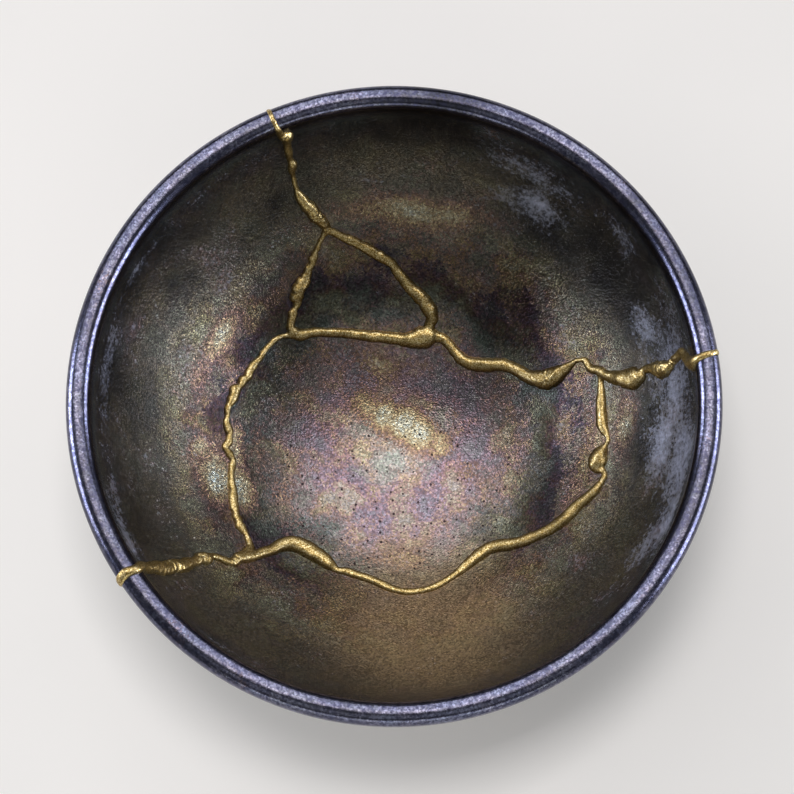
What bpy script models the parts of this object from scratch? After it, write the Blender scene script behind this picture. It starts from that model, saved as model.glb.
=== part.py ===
"""Kintsugi bowl: a wheel-thrown stoneware bowl, broken in five and joined with gold lacquer.

Metres, +Z up. The origin is the centre of the foot's underside. A point of the wall is given by
its distance along the wall's middle surface from the centre of the floor, in millimetres, and by
its azimuth in degrees, counted from +X towards +Y.
"""

import math

import bmesh
import bpy
from mathutils import Vector

MM = 0.001

# The thrown bowl, in millimetres.
MOUTH_DIAMETER = 145.0
BOWL_HEIGHT = 61.25
LIP_THICKNESS = 5.5
WALL_THICKNESS = 4.7
FLOOR_THICKNESS = 5.6
FLOOR_MIDDLE_HEIGHT = 6.0
WALL_ROUNDNESS = 1.75  # exponent of the wall's superellipse: 1 is a cone, 2 an ellipse
LIP_BEAD_RUN = 7.0  # the wall thickens into the lip over this length
THINNING_RUN = 60.0  # the floor thins into the wall over this length
FOOT_DIAMETER = 47.0
FOOT_RING_WIDTH = 4.8
FOOT_FLARE = 0.8  # the foot is this much wider where it joins the wall
FOOT_EDGE = 0.8  # the chamfer round the foot ring
RECESS_LEAN = 1.5  # the recess under the foot narrows by this much up to the wall

# The cracks and the gold that fills them, in millimetres.
CRACK_WIDTH = 0.9
GOLD_GAP = 0.35
FIN_THICKNESS = 0.3
SEAM_LIFT = 0.06  # each seam lies this much higher than the last, so that no two skins coincide
SEAM_RISE = 0.42  # a seam's height over its width
MOST_SEAM_RISE = 1.5
SEAM_SECTION = [(-0.5, 0.0), (-0.34, 0.74), (0.0, 1.0), (0.34, 0.74), (0.5, 0.0)]
PAST_FORK = 0.06  # a seam that ends at a fork runs on by this share of its last step
OUTER_SEAM_WIDTH = 2.2  # the most that a seam is wide outside
OUTER_SPREAD = 0.6  # a thin seam is this much wider outside than inside
LIP_SEAM_WIDTH = 1.8
CUT_REACH = 6.0  # a crack's cutter reaches this far either way from the wall's middle

# How finely the round bowl is divided.
TURNS = 48
INNER_STEPS = 14
OUTER_STEPS = 11
LIP_STEPS = 6

CURVE_SAMPLES = 2000
SLOPE_STEP = 0.2  # the wall's slope is measured over twice this length, in millimetres
SMOOTH_GLAZE_ANGLE = math.radians(40)
SMOOTH_GOLD_ANGLE = math.radians(50)

MOUTH_RADIUS = (MOUTH_DIAMETER - LIP_THICKNESS) / 2
MOUTH_HEIGHT = BOWL_HEIGHT - LIP_THICKNESS / 2
WALL_DEPTH = MOUTH_HEIGHT - FLOOR_MIDDLE_HEIGHT

# Where the seams meet: (distance along the wall, azimuth, seam width).
BACK_FORK = (57.0, 108.2, 1.8)
LEFT_FORK = (37.7, 133.8, 1.8)
FLOOR_FORK = (28.6, 72.0, 3.8)
RIGHT_FORK = (56.5, 14.9, 2.3)
FRONT_FORK = (50.2, 221.2, 2.8)

# The seams between those points. The first comes in from the back rim and goes out over the right rim.
BACK_SEAM = [(90.5, 112.0, 1.6), (89.0, 111.3, 2.7), (86.0, 111.4, 1.6), (78.0, 111.6, 2.1)]
BACK_SEAM += [(74.4, 112.2, 0.9), (70.5, 112.4, 1.1), (66.5, 111.8, 2.8), (61.5, 110.1, 3.2)]
TRIANGLE_RIGHT_SEAM = [(53.5, 104.0, 2.0), (49.9, 98.7, 2.2), (45.8, 91.6, 2.2), (39.4, 83.7, 2.9)]
TRIANGLE_RIGHT_SEAM += [(35.2, 75.6, 3.6), (31.3, 72.8, 2.4)]
TRIANGLE_LEFT_SEAM = [(53.5, 112.0, 1.3), (49.8, 115.9, 1.9), (45.6, 122.6, 3.1), (42.9, 125.8, 1.9)]
TRIANGLE_LEFT_SEAM += [(40.0, 131.8, 2.1)]
TRIANGLE_FLOOR_SEAM = [(35.2, 128.6, 2.4), (32.6, 121.6, 2.1), (29.8, 111.9, 2.3), (27.5, 101.1, 2.6)]
TRIANGLE_FLOOR_SEAM += [(26.5, 90.0, 2.8), (26.9, 80.0, 4.2)]
FLOOR_BACK_SEAM = [(29.2, 66.0, 2.2), (28.5, 60.0, 2.3), (27.4, 51.0, 2.9), (28.6, 42.5, 3.2)]
FLOOR_BACK_SEAM += [(31.6, 37.2, 3.1), (34.9, 31.6, 2.7), (37.6, 24.6, 3.1), (41.2, 20.7, 4.5)]
FLOOR_BACK_SEAM += [(45.0, 20.1, 4.0), (49.6, 20.8, 1.3), (53.2, 20.0, 1.1), (54.3, 16.8, 1.9)]
RIGHT_SEAM = [(59.3, 12.5, 2.9), (64.5, 10.5, 5.0), (67.5, 10.2, 4.0), (69.4, 11.0, 1.7)]
RIGHT_SEAM += [(75.8, 9.4, 3.9), (79.2, 9.5, 2.4), (85.0, 10.6, 1.9), (89.0, 8.0, 2.8)]
FLOOR_FRONT_SEAM = [(55.1, 9.5, 2.0), (54.4, 4.0, 2.6), (54.8, 359.8, 2.4), (56.0, 356.6, 1.0)]
FLOOR_FRONT_SEAM += [(54.0, 352.2, 4.0), (54.0, 349.0, 3.4), (56.3, 346.8, 1.3), (54.5, 341.3, 2.4)]
FLOOR_FRONT_SEAM += [(51.4, 336.6, 2.8), (47.5, 327.0, 2.7), (42.4, 318.0, 2.7), (38.8, 312.3, 3.0)]
FLOOR_FRONT_SEAM += [(37.4, 304.3, 3.1), (38.8, 294.2, 1.8), (40.4, 285.0, 1.6), (40.6, 274.5, 1.6)]
FLOOR_FRONT_SEAM += [(38.5, 265.3, 1.9), (36.9, 254.7, 1.9), (37.3, 246.9, 1.6), (36.3, 239.5, 3.5)]
FLOOR_FRONT_SEAM += [(36.5, 232.0, 4.1), (38.6, 226.4, 3.6), (43.0, 223.9, 2.7)]
FLOOR_LEFT_SEAM = [(39.0, 138.5, 0.9), (40.1, 147.0, 1.5), (41.0, 157.0, 2.1), (42.6, 165.0, 2.1)]
FLOOR_LEFT_SEAM += [(43.3, 172.5, 1.4), (42.4, 180.0, 1.7), (43.5, 184.6, 1.3), (41.9, 189.2, 1.3)]
FLOOR_LEFT_SEAM += [(43.4, 196.2, 1.6), (45.3, 205.5, 1.9), (46.4, 212.0, 1.6)]
LEFT_SEAM = [(52.5, 220.0, 2.8), (55.2, 220.1, 2.0), (59.0, 215.9, 1.5), (61.6, 215.8, 2.7)]
LEFT_SEAM += [(65.3, 215.4, 2.3), (70.5, 215.2, 3.2), (78.0, 214.4, 3.3), (86.0, 213.7, 2.8)]
BACK_RIM_AZIMUTH = 112.8
RIGHT_RIM_AZIMUTH = 7.3
LEFT_RIM_AZIMUTH = 214.1

# A point well inside each shard: (distance along the wall, azimuth).
SHARD_MIDDLES = {
    "shard_left": (70.0, 165.0),
    "shard_right": (70.0, 60.0),
    "shard_front": (70.0, 290.0),
    "shard_base": (15.0, 270.0),
    "shard_small_triangle": (42.0, 105.0),
}


def wall_curve():
    """The wall's middle line as (distance, radius, height) samples, from the floor's centre to the mouth."""
    samples = [(0.0, 0.0, FLOOR_MIDDLE_HEIGHT)]
    power = 2 / WALL_ROUNDNESS
    for step in range(1, CURVE_SAMPLES + 1):
        angle = math.pi / 2 * step / CURVE_SAMPLES
        radius = MOUTH_RADIUS * math.sin(angle) ** power
        height = MOUTH_HEIGHT - WALL_DEPTH * max(math.cos(angle), 0.0) ** power
        run = math.hypot(radius - samples[-1][1], height - samples[-1][2])
        samples.append((samples[-1][0] + run, radius, height))
    return samples


WALL = wall_curve()
MOUTH = WALL[-1][0]


def wall_middle(distance):
    """Radius and height of the wall's middle line at this distance. Above the mouth it runs straight up."""
    if distance >= MOUTH:
        return MOUTH_RADIUS, MOUTH_HEIGHT + distance - MOUTH
    low, high = 0, len(WALL) - 1
    while high - low > 1:
        half = (low + high) // 2
        low, high = (half, high) if WALL[half][0] <= distance else (low, half)
    part = (distance - WALL[low][0]) / (WALL[high][0] - WALL[low][0])
    radius = WALL[low][1] + part * (WALL[high][1] - WALL[low][1])
    height = WALL[low][2] + part * (WALL[high][2] - WALL[low][2])
    return radius, height


def wall_slope(distance):
    """The middle line's unit direction up the wall, as (radial, vertical)."""
    if distance >= MOUTH:
        return 0.0, 1.0
    before = wall_middle(max(distance - SLOPE_STEP, 0.0))
    after = wall_middle(min(distance + SLOPE_STEP, MOUTH))
    length = math.hypot(after[0] - before[0], after[1] - before[1])
    return (after[0] - before[0]) / length, (after[1] - before[1]) / length


def half_thickness(distance):
    thinned = min(distance / THINNING_RUN, 1.0)
    half = (FLOOR_THICKNESS - (FLOOR_THICKNESS - WALL_THICKNESS) * thinned) / 2
    swell = min(max((distance - MOUTH + LIP_BEAD_RUN) / LIP_BEAD_RUN, 0.0), 1.0)
    swell = swell * swell * (3 - 2 * swell)
    return half + (LIP_THICKNESS / 2 - half) * swell


def skin_point(distance, side):
    """Radius and height on the wall's inner skin (side 1) or outer skin (side -1)."""
    radius, height = wall_middle(distance)
    out, up = wall_slope(distance)
    reach = half_thickness(distance) * side
    return radius - up * reach, height + out * reach


def wall_distance(wanted_radius):
    """How far along the wall its middle line first reaches this radius."""
    return next(distance for distance, radius, height in WALL if radius > wanted_radius)


def wall_frame(distance, azimuth):
    """Middle point, direction into the cavity and direction up the wall, in millimetres."""
    radius, height = wall_middle(distance)
    out, up = wall_slope(distance)
    turn = math.radians(azimuth)
    around = Vector((math.cos(turn), math.sin(turn), 0.0))
    middle = around * radius + Vector((0.0, 0.0, height))
    inward = around * -up + Vector((0.0, 0.0, out))
    upward = around * out + Vector((0.0, 0.0, up))
    return middle, inward, upward


def new_object(name, mesh, material):
    made = bpy.data.objects.new(name, mesh)
    bpy.context.scene.collection.objects.link(made)
    if material is not None:
        mesh.materials.append(material)
    return made


def as_helper(helper):
    """Keeps a cutter or a tool out of the finished bowl."""
    helper.hide_render = True
    helper.display_type = "WIRE"
    return helper


def plain_material(name, colour, roughness, metallic):
    material = bpy.data.materials.new(name)
    material.use_nodes = True
    shader = material.node_tree.nodes["Principled BSDF"]
    shader.inputs["Base Color"].default_value = (*colour, 1.0)
    shader.inputs["Roughness"].default_value = roughness
    shader.inputs["Metallic"].default_value = metallic
    material.diffuse_color = (*colour, 1.0)
    return material


def turned_profile():
    """The bowl's section as (radius, height), from the floor's centre over the lip to the foot's recess."""
    points = [(0.0, FLOOR_MIDDLE_HEIGHT + FLOOR_THICKNESS / 2)]
    for step in range(1, INNER_STEPS + 1):
        points.append(skin_point(MOUTH * step / INNER_STEPS, 1.0))
    for step in range(1, LIP_STEPS):
        angle = math.pi * step / LIP_STEPS
        across = LIP_THICKNESS / 2 * math.cos(angle)
        points.append((MOUTH_RADIUS - across, MOUTH_HEIGHT + LIP_THICKNESS / 2 * math.sin(angle)))
    foot_top = wall_distance(FOOT_DIAMETER / 2 + FOOT_FLARE)
    for step in range(OUTER_STEPS + 1):
        points.append(skin_point(MOUTH - (MOUTH - foot_top) * step / OUTER_STEPS, -1.0))
    return points + foot_profile()


def foot_profile():
    """The foot ring and the recess within it, down from the wall and in to the axis."""
    foot = FOOT_DIAMETER / 2
    recess = foot - FOOT_RING_WIDTH
    recess_top = wall_distance(recess - RECESS_LEAN)
    points = [(foot + FOOT_EDGE / 4, FOOT_EDGE * 2), (foot - FOOT_EDGE, 0.0)]
    points += [(recess + FOOT_EDGE, 0.0), (recess, FOOT_EDGE), skin_point(recess_top, -1.0)]
    points += [skin_point(recess_top / 2, -1.0), (0.0, FLOOR_MIDDLE_HEIGHT - FLOOR_THICKNESS / 2)]
    return points


def thrown_bowl():
    """The whole bowl before it broke, turned about the vertical axis."""
    mesh = bpy.data.meshes.new("thrown_bowl")
    points = turned_profile()
    edges = [(at, at + 1) for at in range(len(points) - 1)]
    mesh.from_pydata([(radius * MM, 0.0, height * MM) for radius, height in points], edges, [])
    bowl = as_helper(new_object("thrown_bowl", mesh, None))
    turn = bowl.modifiers.new("turn", "SCREW")
    turn.steps = TURNS
    turn.render_steps = TURNS
    turn.use_merge_vertices = True
    turn.merge_threshold = 0.00001
    return bowl


def bridge(shape, first, second):
    """Quads between two equal chains of corners, joined round at the ends."""
    for at in range(len(first)):
        after = (at + 1) % len(first)
        shape.faces.new((first[at], first[after], second[after], second[at]))


def finished_mesh(name, shape):
    bmesh.ops.recalc_face_normals(shape, faces=shape.faces)
    mesh = bpy.data.meshes.new(name)
    shape.to_mesh(mesh)
    shape.free()
    return mesh


def past_fork(end, neighbour):
    """A route's end station, moved a little further away from its neighbour."""
    distance = end[0] + (end[0] - neighbour[0]) * PAST_FORK
    azimuth = end[1] + (end[1] - neighbour[1]) * PAST_FORK
    return distance, azimuth, end[2]


def wall_path(route, start_rim, end_rim):
    """The route's stations. It runs up to the mouth at a rim, and just past the fork elsewhere."""
    path = list(route)
    if start_rim is None:
        path[0] = past_fork(route[0], route[1])
    else:
        path.insert(0, (MOUTH, start_rim, LIP_SEAM_WIDTH))
    if end_rim is None:
        path[-1] = past_fork(route[-1], route[-2])
    else:
        path.append((MOUTH, end_rim, LIP_SEAM_WIDTH))
    return path


def crosswise(frames, at):
    """Unit direction across a path of wall frames, square to its line and to the wall."""
    here = frames[at][0]
    run = Vector((0.0, 0.0, 0.0))
    if at > 0:
        run += (here - frames[at - 1][0]).normalized()
    if at < len(frames) - 1:
        run += (frames[at + 1][0] - here).normalized()
    return frames[at][1].cross(run).normalized()


def crack_cutter(name, route, start_rim, end_rim):
    """A ruled cut through the wall along a route, running out over the lip where it meets a rim."""
    path = [station[:2] for station in wall_path(route, start_rim, end_rim)]
    if start_rim is not None:
        path.insert(0, (MOUTH + CUT_REACH, start_rim))
    if end_rim is not None:
        path.append((MOUTH + CUT_REACH, end_rim))
    frames = [wall_frame(distance, azimuth) for distance, azimuth in path]
    shape = bmesh.new()
    rings = []
    for at, (middle, inward, upward) in enumerate(frames):
        across = crosswise(frames, at) * CRACK_WIDTH / 2
        inside = middle + inward * CUT_REACH
        outside = middle - inward * CUT_REACH
        corners = (inside - across, inside + across, outside + across, outside - across)
        rings.append([shape.verts.new(corner * MM) for corner in corners])
    for first, second in zip(rings, rings[1:]):
        bridge(shape, first, second)
    shape.faces.new(rings[0])
    shape.faces.new(rings[-1])
    return as_helper(new_object(name, finished_mesh(name, shape), None))


def gold_arm(shape, middle, direction, across, start, width):
    """Half of a seam's section: the fin's two corners with the rounded bead between them."""
    base = middle + direction * start
    rise = direction * min(width * SEAM_RISE, MOST_SEAM_RISE)
    corners = [base - across * FIN_THICKNESS / 2]
    corners += [base + across * width * side + rise * height for side, height in SEAM_SECTION]
    corners.append(base + across * FIN_THICKNESS / 2)
    return [shape.verts.new(corner * MM) for corner in corners]


def gold_over_lip(shape, frame, across, start, stems, inner_arm, outer_arm):
    """Carries the bead and the fin round the lip, from the inner arm to the outer one."""
    middle, inward, upward = frame
    arms = [inner_arm]
    for step in range(1, LIP_STEPS):
        angle = math.pi * step / LIP_STEPS
        direction = inward * math.cos(angle) + upward * math.sin(angle)
        arms.append(gold_arm(shape, middle, direction, across, start, LIP_SEAM_WIDTH))
    arms.append(outer_arm)
    for first, second in zip(arms, arms[1:]):
        for at in range(len(first) - 1):
            shape.faces.new((first[at], first[at + 1], second[at + 1], second[at]))
        shape.faces.new((stems[0], first[0], second[0]))
        shape.faces.new((stems[1], first[-1], second[-1]))


def gold_seam(name, route, start_rim, end_rim, lift):
    """One seam: an inner and an outer bead with the fin between them, in one skin."""
    path = wall_path(route, start_rim, end_rim)
    frames = [wall_frame(distance, azimuth) for distance, azimuth, width in path]
    shape = bmesh.new()
    rings = []
    for at, (distance, azimuth, width) in enumerate(path):
        middle, inward, upward = frames[at]
        across = crosswise(frames, at)
        start = half_thickness(distance) + GOLD_GAP + lift
        side = across * FIN_THICKNESS / 2
        stems = [shape.verts.new(corner * MM) for corner in (middle - side, middle + side)]
        outer_width = min(OUTER_SEAM_WIDTH, width + OUTER_SPREAD)
        inner_arm = gold_arm(shape, middle, inward, across, start, width)
        outer_arm = gold_arm(shape, middle, -inward, across, start, outer_width)
        rings.append([stems[0], *inner_arm, stems[1], *reversed(outer_arm)])
        if distance == MOUTH:
            gold_over_lip(shape, frames[at], across, start, stems, inner_arm, outer_arm)
    for first, second in zip(rings, rings[1:]):
        bridge(shape, first, second)
    if start_rim is None:
        shape.faces.new(rings[0])
    if end_rim is None:
        shape.faces.new(rings[-1])
    return as_helper(new_object(name, finished_mesh(name, shape), None))


def gold_seams(routes, gold):
    """The four seams joined into one network."""
    seams = []
    for order, (name, route, start_rim, end_rim) in enumerate(routes):
        seams.append(gold_seam(name + "_seam", route, start_rim, end_rim, SEAM_LIFT * order))
    for seam in seams[1:]:
        union = seams[0].modifiers.new("with_" + seam.name, "BOOLEAN")
        union.operation = "UNION"
        union.solver = "EXACT"
        union.object = seam
    mesh = evaluated_mesh(seams[0])
    mesh.name = "gold_seams"
    new_object("gold_seams", mesh, gold)
    mesh.shade_smooth()
    mesh.set_sharp_from_angle(angle=SMOOTH_GOLD_ANGLE)


def evaluated_mesh(source):
    bpy.context.view_layer.update()
    graph = bpy.context.evaluated_depsgraph_get()
    return bpy.data.meshes.new_from_object(source.evaluated_get(graph))


def islands_of(shape):
    """The separate bodies of a mesh, as lists of faces."""
    waiting = set(shape.faces)
    found = []
    while waiting:
        island = [waiting.pop()]
        for face in island:
            for edge in face.edges:
                for other in edge.link_faces:
                    if other in waiting:
                        waiting.discard(other)
                        island.append(other)
        found.append(island)
    return found


def nearest_distance(faces, point):
    return min((vert.co - point).length for face in faces for vert in face.verts)


def broken_shards(bowl, cutters, glaze):
    """Cuts the bowl along the cracks and gives each piece its name."""
    for cutter in cutters:
        cut = bowl.modifiers.new(cutter.name, "BOOLEAN")
        cut.operation = "DIFFERENCE"
        cut.solver = "EXACT"
        cut.object = cutter
    whole = bmesh.new()
    whole.from_mesh(evaluated_mesh(bowl))
    whole.faces.ensure_lookup_table()
    islands = islands_of(whole)
    for name, (distance, azimuth) in SHARD_MIDDLES.items():
        middle, inward, upward = wall_frame(distance, azimuth)
        island = min(islands, key=lambda faces: nearest_distance(faces, middle * MM))
        islands.remove(island)
        shard = whole.copy()
        shard.faces.ensure_lookup_table()
        kept = {face.index for face in island}
        extra = [face for face in shard.faces if face.index not in kept]
        bmesh.ops.delete(shard, geom=extra, context="FACES")
        mesh = bpy.data.meshes.new(name)
        shard.to_mesh(mesh)
        shard.free()
        new_object(name, mesh, glaze)
        mesh.shade_smooth()
        mesh.set_sharp_from_angle(angle=SMOOTH_GLAZE_ANGLE)
    whole.free()


def main():
    for leftover in list(bpy.data.objects):
        bpy.data.objects.remove(leftover)
    glaze = plain_material("metallic_black_glaze", (0.035, 0.034, 0.038), 0.3, 0.55)
    gold = plain_material("gold_lacquer", (0.52, 0.40, 0.16), 0.34, 0.9)
    back_to_right = [*BACK_SEAM, BACK_FORK, *TRIANGLE_RIGHT_SEAM, FLOOR_FORK]
    back_to_right += [*FLOOR_BACK_SEAM, RIGHT_FORK, *RIGHT_SEAM]
    front_to_left = [RIGHT_FORK, *FLOOR_FRONT_SEAM, FRONT_FORK, *LEFT_SEAM]
    left_side = [BACK_FORK, *TRIANGLE_LEFT_SEAM, LEFT_FORK, *FLOOR_LEFT_SEAM, FRONT_FORK]
    under_triangle = [LEFT_FORK, *TRIANGLE_FLOOR_SEAM, FLOOR_FORK]
    routes = [
        ("back_to_right", back_to_right, BACK_RIM_AZIMUTH, RIGHT_RIM_AZIMUTH),
        ("front_to_left", front_to_left, None, LEFT_RIM_AZIMUTH),
        ("left_side", left_side, None, None),
        ("under_triangle", under_triangle, None, None),
    ]
    cutters = []
    for name, route, start_rim, end_rim in routes:
        cutters.append(crack_cutter(name + "_crack", route, start_rim, end_rim))
    broken_shards(thrown_bowl(), cutters, glaze)
    gold_seams(routes, gold)


main()
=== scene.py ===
"""The kintsugi bowl as it looks: turned shards, gilded lacquer laid by hand, table and light.

Pieces are made in millimetres and brought to metres at the end. A point of the bowl's skin is given
by its run, which is its distance from the centre of the floor up the inside, round the lip and down
the outside, and by its azimuth in degrees, counted from +X towards +Y.
"""

import math

import bmesh
import bpy
import numpy as np
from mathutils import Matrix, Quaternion, Vector, noise
from mathutils.kdtree import KDTree


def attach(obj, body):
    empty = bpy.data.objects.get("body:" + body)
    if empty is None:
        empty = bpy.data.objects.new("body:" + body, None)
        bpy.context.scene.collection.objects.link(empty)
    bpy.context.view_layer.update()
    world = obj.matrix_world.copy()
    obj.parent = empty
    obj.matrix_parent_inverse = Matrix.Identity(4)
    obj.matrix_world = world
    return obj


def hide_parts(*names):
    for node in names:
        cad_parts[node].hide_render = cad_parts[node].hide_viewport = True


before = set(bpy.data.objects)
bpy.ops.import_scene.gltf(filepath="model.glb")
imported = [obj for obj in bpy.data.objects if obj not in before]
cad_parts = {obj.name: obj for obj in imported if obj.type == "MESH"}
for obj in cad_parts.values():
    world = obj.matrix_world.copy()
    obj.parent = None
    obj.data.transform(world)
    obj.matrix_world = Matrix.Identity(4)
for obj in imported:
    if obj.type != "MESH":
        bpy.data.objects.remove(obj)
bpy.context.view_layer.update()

MM = 0.001

# The thrown bowl, as in the part, in millimetres.
MOUTH_DIAMETER = 145.0
BOWL_HEIGHT = 61.25
LIP_THICKNESS = 5.5
WALL_THICKNESS = 4.7
FLOOR_THICKNESS = 5.6
FLOOR_MIDDLE_HEIGHT = 6.0
WALL_ROUNDNESS = 1.75
LIP_BEAD_RUN = 7.0
THINNING_RUN = 60.0
MOUTH_RADIUS = (MOUTH_DIAMETER - LIP_THICKNESS) / 2
MOUTH_HEIGHT = BOWL_HEIGHT - LIP_THICKNESS / 2
WALL_DEPTH = MOUTH_HEIGHT - FLOOR_MIDDLE_HEIGHT

# How finely the pieces are made.
TURNS = 384
SKIN_STEP = 0.8
LIP_STEPS = 40
CRACK_WIDTH = 0.3
CRACK_GRIP = 0.03  # how far the lacquer bites into each broken edge
CUT_REACH = 6.0  # to each side of the wall's middle, so that the cut comes out through both skins
CUT_STEP = 1.0
BEAD_STEP = 0.35
LACQUER_VOXEL = 0.22
MOST_LACQUER_FACES = 180000
MELT = 0.18  # the beads lose this much at each edge when they are run together

# The foot ring's turned section from the wall down and in to the recess: radius and height.
FOOT_SECTION = [
    (23.95, 2.7), (23.78, 1.8), (23.6, 1.0), (23.2, 0.32), (22.6, 0.0), (21.1, 0.0), (19.6, 0.0),
    (19.05, 0.32), (18.7, 1.0), (18.3, 2.0),
]
BARE_CLAY_HEIGHT = 1.5  # the glaze was wiped off the foot below this


# The bowl's wall.

def wall_table():
    """Distance along the wall's middle from the floor's centre, with its radius and height."""
    angle = np.linspace(0, math.pi / 2, 4001)
    power = 2 / WALL_ROUNDNESS
    radius = MOUTH_RADIUS * np.sin(angle) ** power
    height = MOUTH_HEIGHT - WALL_DEPTH * np.maximum(np.cos(angle), 0.0) ** power
    steps = np.hypot(np.diff(radius), np.diff(height))
    return np.concatenate([[0.0], np.cumsum(steps)]), radius, height


WALL, WALL_RADIUS, WALL_HEIGHT = wall_table()
MOUTH = WALL[-1]
LIP_RUN = math.pi * LIP_THICKNESS / 2
LIP_SQUARENESS = 2.1  # 2 is a half circle. The lip is wiped a little flatter on top


def wall_middle(distance):
    """Radius and height of the wall's middle. Above the mouth it runs straight up."""
    radius = np.interp(distance, WALL, WALL_RADIUS)
    height = np.interp(distance, WALL, WALL_HEIGHT) + np.maximum(distance - MOUTH, 0.0)
    return radius, height


def half_thickness(distance):
    thinned = np.minimum(distance / THINNING_RUN, 1.0)
    half = (FLOOR_THICKNESS - (FLOOR_THICKNESS - WALL_THICKNESS) * thinned) / 2
    swell = np.clip((distance - MOUTH + LIP_BEAD_RUN) / LIP_BEAD_RUN, 0.0, 1.0)
    swell = swell * swell * (3 - 2 * swell)
    return half + (LIP_THICKNESS / 2 - half) * swell


def wall_slope(distance):
    """The wall's unit direction upwards, as its radial and vertical parts."""
    before = wall_middle(np.clip(distance - 0.2, 0.0, MOUTH - 0.4))
    after = wall_middle(np.clip(distance + 0.2, 0.4, MOUTH))
    out, up = after[0] - before[0], after[1] - before[1]
    length = np.hypot(out, up)
    straight = distance >= MOUTH
    return np.where(straight, 0.0, out / length), np.where(straight, 1.0, up / length)


def wall_frame(distance, azimuth):
    """Middle points, directions into the cavity and directions up the wall, one row for each."""
    radius, height = wall_middle(distance)
    out, up = wall_slope(distance)
    turn = np.radians(azimuth)
    around = np.stack([np.cos(turn), np.sin(turn), np.zeros_like(turn)], axis=1)
    vertical = np.array([[0.0, 0.0, 1.0]])
    middle = around * radius[:, None] + vertical * height[:, None]
    inward = vertical * out[:, None] - around * up[:, None]
    upward = vertical * up[:, None] + around * out[:, None]
    return middle, inward, upward


def skin_frame(run, azimuth):
    """Points of the glazed skin and the directions out of it."""
    past_lip = 2 * MOUTH + LIP_RUN - run
    distance = np.where(run > MOUTH + LIP_RUN, past_lip, np.minimum(run, MOUTH))
    middle, inward, upward = wall_frame(distance, azimuth)
    turn = np.clip((run - MOUTH) / LIP_RUN, 0.0, 1.0) * math.pi
    across, up = np.cos(turn), np.sin(turn)
    swell = (np.abs(across) ** LIP_SQUARENESS + up ** LIP_SQUARENESS) ** (-1 / LIP_SQUARENESS)
    reach = (half_thickness(distance) * swell)[:, None]
    point = middle + (inward * across[:, None] + upward * up[:, None]) * reach
    lean = np.sign(across) * np.abs(across) ** (LIP_SQUARENESS - 1)
    rise = up ** (LIP_SQUARENESS - 1)
    normal = inward * lean[:, None] + upward * rise[:, None]
    return point, normal / np.linalg.norm(normal, axis=1)[:, None]


def skin_spot(run, azimuth):
    """One point of the skin, and the directions out of it, round the bowl and up the wall."""
    points, normals = skin_frame(np.array([run]), np.array([azimuth]))
    turn = math.radians(azimuth)
    sideways = np.array([-math.sin(turn), math.cos(turn), 0.0])
    return points[0], normals[0], sideways, np.cross(normals[0], sideways)


def turned_section():
    """The bowl's section as rows of radius, height and run: up the inside, over the lip and down to
    the foot."""
    inside = np.linspace(0.0, MOUTH, round(MOUTH / SKIN_STEP))
    lip = np.linspace(MOUTH, MOUTH + LIP_RUN, LIP_STEPS + 1)[1:]
    foot_top = np.interp(FOOT_SECTION[0][0] + 0.4, WALL_RADIUS, WALL)
    last = 2 * MOUTH + LIP_RUN - foot_top
    outside = np.linspace(MOUTH + LIP_RUN, last, round((last - MOUTH) / SKIN_STEP))[1:]
    runs = np.concatenate([inside, lip, outside])
    points, _ = skin_frame(runs, np.zeros_like(runs))
    rows = [(radius, height, run) for (radius, _, height), run in zip(points, runs)]
    for radius, height in FOOT_SECTION:
        run = rows[-1][2] + math.hypot(radius - rows[-1][0], height - rows[-1][1])
        rows.append((radius, height, run))
    recess = np.linspace(np.interp(FOOT_SECTION[-1][0] - 0.9, WALL_RADIUS, WALL), 0.0, 14)
    points, _ = skin_frame(2 * MOUTH + LIP_RUN - recess, np.zeros_like(recess))
    for radius, _, height in points:
        run = rows[-1][2] + math.hypot(radius - rows[-1][0], height - rows[-1][1])
        rows.append((radius, height, run))
    return np.array(rows)


# Where the seams run: distance up the wall, azimuth, and the lacquer's width.
BACK_FORK = (57.0, 108.2, 1.8)
LEFT_FORK = (37.7, 133.8, 2.4)
FLOOR_FORK = (28.6, 72.0, 3.4)
RIGHT_FORK = (56.5, 14.9, 2.3)
FRONT_FORK = (50.2, 221.2, 2.8)

BACK_SEAM = [
    (91.5, 112.2, 1.3), (89.2, 111.3, 2.9), (86.0, 111.5, 1.5), (82.5, 111.7, 1.8),
    (80.3, 111.8, 1.3), (78.0, 111.6, 2.1), (76.3, 112.1, 1.6), (74.4, 112.2, 0.9),
    (72.6, 112.3, 0.95), (70.5, 112.4, 1.0), (69.0, 112.4, 1.6), (66.3, 111.7, 2.8),
    (63.0, 110.6, 3.3), (60.4, 109.6, 3.3), (58.4, 108.5, 2.4),
]
TRIANGLE_RIGHT_SEAM = [
    (55.2, 106.1, 1.6), (53.5, 104.0, 2.0), (51.9, 101.6, 2.1), (49.9, 98.7, 2.2),
    (48.3, 96.2, 2.4), (46.8, 93.5, 2.5), (45.3, 90.7, 2.1), (43.1, 88.7, 2.2),
    (41.1, 86.2, 2.6), (39.4, 83.7, 2.9), (37.9, 80.7, 3.1), (36.3, 77.3, 3.5),
    (34.8, 74.7, 3.6), (33.1, 72.6, 3.0), (31.3, 72.8, 2.3),
]
TRIANGLE_LEFT_SEAM = [
    (55.3, 110.0, 0.9), (53.5, 112.0, 1.3), (51.7, 113.9, 1.7), (49.8, 115.9, 1.9),
    (48.3, 117.9, 2.0), (47.1, 119.6, 2.4), (45.9, 122.2, 3.2), (44.3, 124.7, 2.8),
    (42.9, 125.6, 1.9), (42.1, 127.6, 1.7), (41.0, 129.8, 1.9), (39.6, 132.5, 2.1),
]
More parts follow.
